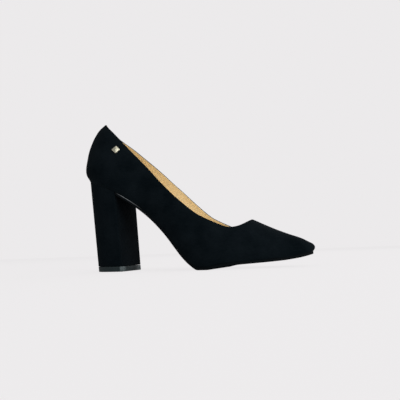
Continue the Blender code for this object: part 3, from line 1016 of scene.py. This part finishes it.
@dataclass
class Outsole:
    """Thin sole from the heel's breast to the toe."""

    last: Last
    across: int = 20
    edge: float = 0.0004

    def build(self, rubber: bpy.types.Material) -> None:
        """Builds the sole as a plate with small quarter rounds on both edges."""
        last = self.last
        start = last.breast_at + 2.0 * last.gap
        x = last.stations(start, last.edge_toe, (0.0, last.toe_round), (0, 30), 0.0018)
        flat = [last.length * at for at, rise in zip(SOLE_LINE["at"], SOLE_LINE["rise"]) if rise == 0.0]
        x = np.sort(np.concatenate([x[np.min(np.abs(x[:, None] - flat), axis=1) > 0.0003], flat]))
        top = last.edge_lift + last.overlap
        loops = []
        shares = []
        for inset, lift in rounded_levels(top, self.edge):
            plan = edge_outline(last, x, inset)
            loops.append(np.column_stack([plan, last.sole_height(plan[:, 0], lift)]) + last.place)
            up = np.full(len(plan), lift / top)
            shares.append(np.column_stack([plan[:, 0] / last.length, up, 0.0 * up]))
        points, faces = loft(np.array(loops), self.across)
        along = loft(np.array(shares), self.across)[0][:, :2]
        add_piece("sole", points, faces, Dress("outsole_rubber", rubber, ("outsole",)), along=along)


@dataclass
class Heel:
    """Covered block heel on its top piece."""

    last: Last
    base_back: float = 0.0115
    base_front: float = 0.0453
    base_half: float = 0.0225
    corner: float = 0.0012
    top_piece: float = 0.0050
    edge: float = 0.0004
    cover_edge: float = 0.0005
    cover_steps: int = 12
    across: int = 12

    def build(self, suede: bpy.types.Material, rubber: bpy.types.Material) -> None:
        """Builds the covered block and its top piece."""
        cover = Dress("heel_suede", suede, ("heel_block",))
        lift = Dress("top_piece_rubber", rubber, ("top_piece",))
        self.body("heel_cover", self.top_piece + self.last.gap, None, self.cover_edge, cover)
        self.body("heel_lift", 0.0, self.top_piece, self.edge, lift)

    def lines(self, inset: float) -> tuple:
        """The heel's outlines on the floor and under the seat, matched point by point.

        Both are drawn in by an inset. The breast's corners are quarter rounds.
        """
        last = self.last
        turn = 0.8 * last.seat_round
        breast = last.breast_at
        arc = last.stations(last.edge_back, breast, (turn, self.corner), (30, 8), 0.0015)
        past = np.clip(1.0 - (breast - arc) / self.corner, 0.0, 1.0)
        trim = self.corner * (1.0 - np.sqrt(1.0 - past ** 2))
        share = (arc - last.edge_back) / (breast - last.edge_back)
        base_x = self.base_back + share * (self.base_front - self.base_back)
        seat = round_end(arc - last.edge_back, last.seat_round, last.seat_power)
        height = last.sole_height(arc, last.edge_lift + last.overlap)
        loops = []
        for low in (True, False):
            sides = []
            for side in Side:
                half = self.base_half * seat if low else last.edge_half(arc, side)
                across = side.value * np.maximum(half - trim, 0.0)
                sides.append(np.stack([base_x if low else arc, across], axis=-1))
            loop = draw_in(sides, inset)
            up = np.zeros(len(loop)) if low else np.concatenate([height, height[::-1]])
            loops.append(np.column_stack([loop, up]) + last.place)
        return loops[0], loops[1]

    def body(self, name: str, low: float, high: float | None, edge: float, dress: Dress) -> None:
        """Part of the heel between two heights, with quarter rounds on its edges.

        Args:
            name: the piece's name.
            low: height of its underside.
            high: height of its top, or None for the seat.
            edge: radius of its edges.
            dress: the finish it wears and the frame node it hides.
        """
        foot = low + edge
        steps = self.cover_steps if high is None else 2
        pairs = quarter_round(edge)
        loops = [self.level(inset, low + rise) for inset, rise in pairs]
        loops += [self.level(0.0, foot, (step / steps, high, edge)) for step in range(1, steps)]
        loops += [self.level(rise, foot, (1.0, high, inset)) for inset, rise in pairs]
        points, faces = loft(np.array(loops), self.across)
        add_piece(name, points, faces, dress)

    def level(self, inset: float, floor: float, span: tuple | None = None) -> np.ndarray:
        """One loop of the heel.

        Args:
            inset: how far it is drawn in.
            floor: its height, or the height from which the span is measured.
            span: share of the way up to a height (None for the seat), and how far below that it ends.

        Returns:
            The loop's points.
        """
        base, top = self.lines(inset)
        z = np.full(len(base), floor)
        if span is not None:
            share, high, below = span
            end = (top[:, 2] if high is None else high) - below
            z = floor + share * (end - floor)
        up = (z / top[:, 2])[:, None]
        return base + up * (top - base)


@dataclass
class Stud:
    """Small plain pyramid on the outer quarter."""

    last: Last
    side: float = 0.0060
    thick: float = 0.0020
    rim: float = 0.0008
    table: float = 0.0015
    at: float = 0.0401
    drop: float = 0.0133
    soft: float = 0.0001
    squareness: int = 14

    def spot(self, x: float, drop: float) -> np.ndarray:
        """Point of the last at a station, the given way down the surface from the collar's edge."""
        where = np.array([x])
        top = self.last.collar_angle(where, Side.LATERAL)
        column = self.last.grid(where, 160, Side.LATERAL, top)[0][::-1]
        return read_line(drop, run_along(column), column)

    def build(self, plating: bpy.types.Material) -> None:
        """Builds the stud from square rings with rounded corners, rim, slope and table."""
        half = self.side / 2.0
        along = unit(self.spot(self.at + half, self.drop) - self.spot(self.at - half, self.drop))
        up = self.spot(self.at, self.drop - half) - self.spot(self.at, self.drop + half)
        out = unit(np.cross(along, up))
        across = np.cross(out, along)
        centre = self.spot(self.at, self.drop) + out * self.last.gap
        turn = np.linspace(0.0, 2.0 * math.pi, 65)[:-1]
        soft = self.soft
        table = self.table / 2.0
        profile = [
            (half - soft, 0.0),
            (half, soft),
            (half, self.rim - 1.5 * soft),
            (half - soft, self.rim),
            (table + 2.0 * soft, self.thick - soft),
            (table, self.thick),
            (0.0, self.thick),
        ]
        power = self.squareness
        square = 1.0 / (np.abs(np.cos(turn)) ** power + np.abs(np.sin(turn)) ** power) ** (1.0 / power)
        rings = [np.repeat(centre[None, :], len(turn), axis=0)]
        for reach, height in profile:
            a = reach * square * np.cos(turn)
            b = reach * square * np.sin(turn)
            rings.append(centre + out * height + a[:, None] * along + b[:, None] * across)
        points = np.array(rings).transpose(1, 0, 2)
        faces = quads(len(turn), len(rings), closed=True)
        add_piece("stud", points, faces, Dress("stud_metal", plating, ("side_stud",)), angle=25.0)


# Studio


@dataclass
class Studio:
    """Camera, soft lights and a pale floor."""

    eye: tuple = (0.1751, -0.5229, 0.0183)
    aim: tuple = (0.0067, -0.0015, 0.0662)
    roll: float = 2.1
    lens: float = 51.2
    floor: float = 6.0
    pale: tuple = (0.838, 0.823, 0.831, 1.0)
    ground: tuple = (0.80, 0.79, 0.795, 1.0)
    blank: float = 0.94
    glow: float = 0.99
    seen: float = 1.0
    fill: float = 0.85
    lights: tuple = (
        ("key", (1.05, -0.60, 0.60), 0.9, 12.0),
        ("back", (0.1, 0.9, 0.9), 1.2, 6.0),
        ("top", (0.35, 0.0, 1.3), 1.4, 5.0),
    )

    def build(self) -> None:
        """Adds the camera, the lights, the floor and the world."""
        bpy.context.scene.view_settings.view_transform = "Standard"
        self.add_camera()
        for light in self.lights:
            self.add_light(*light)
        self.add_floor()
        self.add_world()

    def add_camera(self) -> None:
        """Camera at the photograph's angle, rolled so that the picture's right side goes up."""
        data = bpy.data.cameras.new("camera")
        data.lens = self.lens
        data.clip_start = 0.01
        data.clip_end = 50.0
        camera = put_in_scene("camera", data)
        look = Vector(self.aim) - Vector(self.eye)
        turn = look.to_track_quat("-Z", "Y").to_matrix() @ Matrix.Rotation(-math.radians(self.roll), 3, "Z")
        camera.matrix_world = Matrix.Translation(self.eye) @ turn.to_4x4()
        bpy.context.scene.camera = camera

    def add_light(self, name: str, place: tuple, size: float, power: float) -> None:
        """Square area light aimed at the shoe's middle."""
        data = bpy.data.lights.new(name, "AREA")
        data.size = size
        data.energy = power
        light = put_in_scene(name, data)
        light.location = place
        aim = Vector((0.0, 0.0, 0.06)) - Vector(place)
        light.rotation_euler = aim.to_track_quat("-Z", "Y").to_euler()

    def show(self, n: Nodes, lit: object, seen: object, output: str) -> None:
        """Gives the output one shader for the light and another for the camera."""
        camera = n.add("LightPath").outputs["Is Camera Ray"]
        mixed = n.add("MixShader", {0: camera, 1: lit, 2: seen}).outputs[0]
        n.set(n.tree.nodes[output], {"Surface": mixed})

    def add_floor(self) -> None:
        """Plain pale floor."""
        half = self.floor / 2.0
        mesh = bpy.data.meshes.new("floor")
        corners = [(-half, -half, 0.0), (half, -half, 0.0), (half, half, 0.0), (-half, half, 0.0)]
        mesh.from_pydata(corners, [], [(0, 1, 2, 3)])
        floor = put_in_scene("floor", mesh)
        material, n, shader = start_material("floor")
        n.set(shader, {"Base Color": self.ground, "Roughness": 0.9, "Specular IOR Level": 0.0})
        lit = shader.outputs[0]
        glow = n.add("Emission", {"Color": self.pale, "Strength": self.seen * self.glow}).outputs[0]
        self.show(n, lit, n.add("MixShader", {0: self.blank, 1: lit, 2: glow}).outputs[0], "Material Output")
        mesh.materials.append(material)

    def add_world(self) -> None:
        """Even pale surroundings, shown to the camera in the floor's own tone."""
        world = bpy.data.worlds.new("world")
        world.use_nodes = True
        n = Nodes(world.node_tree)
        lit = world.node_tree.nodes["Background"]
        n.set(lit, {"Color": self.pale, "Strength": self.fill})
        seen = n.add("Background", {"Color": self.pale, "Strength": self.seen}).outputs[0]
        self.show(n, lit.outputs[0], seen, "World Output")
        bpy.context.scene.world = world


def main() -> None:
    """Builds the pieces in order, then the studio."""
    last = Last(*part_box("upper"))
    nap = nap_group()
    grain = grain_group()
    suede = Suede("black_suede").make(nap)
    heel_suede = Suede("black_suede_heel", patch_scale=38.0).make(nap)
    lining = Hide(
        "tan_lining", (0.785, 0.648, 0.405, 1.0), (0.755, 0.612, 0.370, 1.0), bump=0.06, specular=0.2
    ).make(grain)
    sock = Hide(
        "tan_sock", (0.765, 0.628, 0.385, 1.0), (0.730, 0.585, 0.350, 1.0), 700.0, bump=0.10, specular=0.25
    ).make(grain)
    # Sole rubber, with a painted highlight along the waist's edge.
    rubber = SoleEdge(
        "dark_sole", (0.0024, 0.0034, 0.0042, 1.0), (0.0014, 0.0022, 0.0028, 1.0),
        1400.0, 60.0, (0.7, 0.9), specular=0.03,
    ).make(grain)
    low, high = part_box("top_piece")
    lift = CornerSheenRubber(
        # Top piece rubber, with a painted sheen round the breast's corners.
        "heel_rubber", (0.0150, 0.0235, 0.0250, 1.0), (0.0095, 0.0155, 0.0165, 1.0),
        1600.0, 90.0, (0.55, 0.75), specular=0.12, corner=(high.x, (high.y - low.y) / 2.0),
    ).make(grain)
    plating = Plating("pale_gold").make()
    Upper(last).build(suede, lining)
    Sock(last).build(sock)
    Outsole(last).build(rubber)
    Heel(last).build(heel_suede, lift)
    Stud(last).build(plating)
    Studio().build()


if __name__ == "__main__":
    logging.basicConfig(level=logging.INFO, format="%(name)s: %(message)s")
    main()
